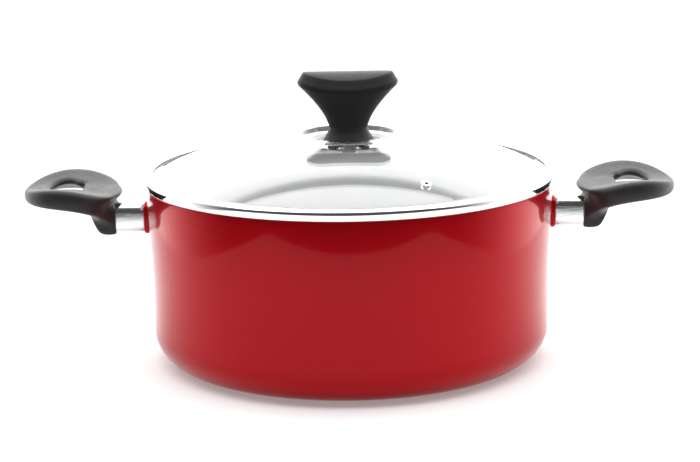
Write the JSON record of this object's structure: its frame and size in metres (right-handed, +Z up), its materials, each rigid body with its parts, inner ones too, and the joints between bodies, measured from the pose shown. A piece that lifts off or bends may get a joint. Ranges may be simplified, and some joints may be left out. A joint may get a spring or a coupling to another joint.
{
  "type": "casserole with lid",
  "caption": "Two-handled round aluminium casserole, red enamelled outside, with a lift-off domed glass lid, a steel band and a phenolic knob.",
  "frame": {"origin": "on the plane that the pot stands on, under the middle of the pot", "axes": "+Z up along the pot's axis, +X through the right handle, -Y towards the front"},
  "size_m": [0.3948, 0.25, 0.1759],
  "materials": {
    "red_enamel": "gloss",
    "stainless": "polished",
    "phenolic": "satin",
    "plated_steel": "satin",
    "tempered_glass": "gloss",
    "silicone": "matte",
    "brass_insert": "satin"
  },
  "bodies": {
    "pot": {"pot_body": "red_enamel", "left_bracket": "red_enamel", "left_guard": "stainless", "left_handle": "phenolic", "left_washer": "plated_steel", "left_spring_washer": "plated_steel", "left_screw": "plated_steel", "right_bracket": "red_enamel", "right_guard": "stainless", "right_handle": "phenolic", "right_washer": "plated_steel", "right_spring_washer": "plated_steel", "right_screw": "plated_steel"},
    "lid": {"lid_glass": "tempered_glass", "lid_band": "stainless", "band_cushion": "silicone", "vent_eyelet": "stainless", "knob": "phenolic", "knob_collar": "phenolic", "knob_insert": "brass_insert", "upper_seal": "silicone", "lower_seal": "silicone", "knob_washer": "plated_steel", "knob_screw": "plated_steel"}
  },
  "joints": [
    {"name": "lid_lift", "type": "slide", "parent": "pot", "child": "lid", "axis": [0, 0, 1], "range_m": [0, 0.2]}
  ]
}
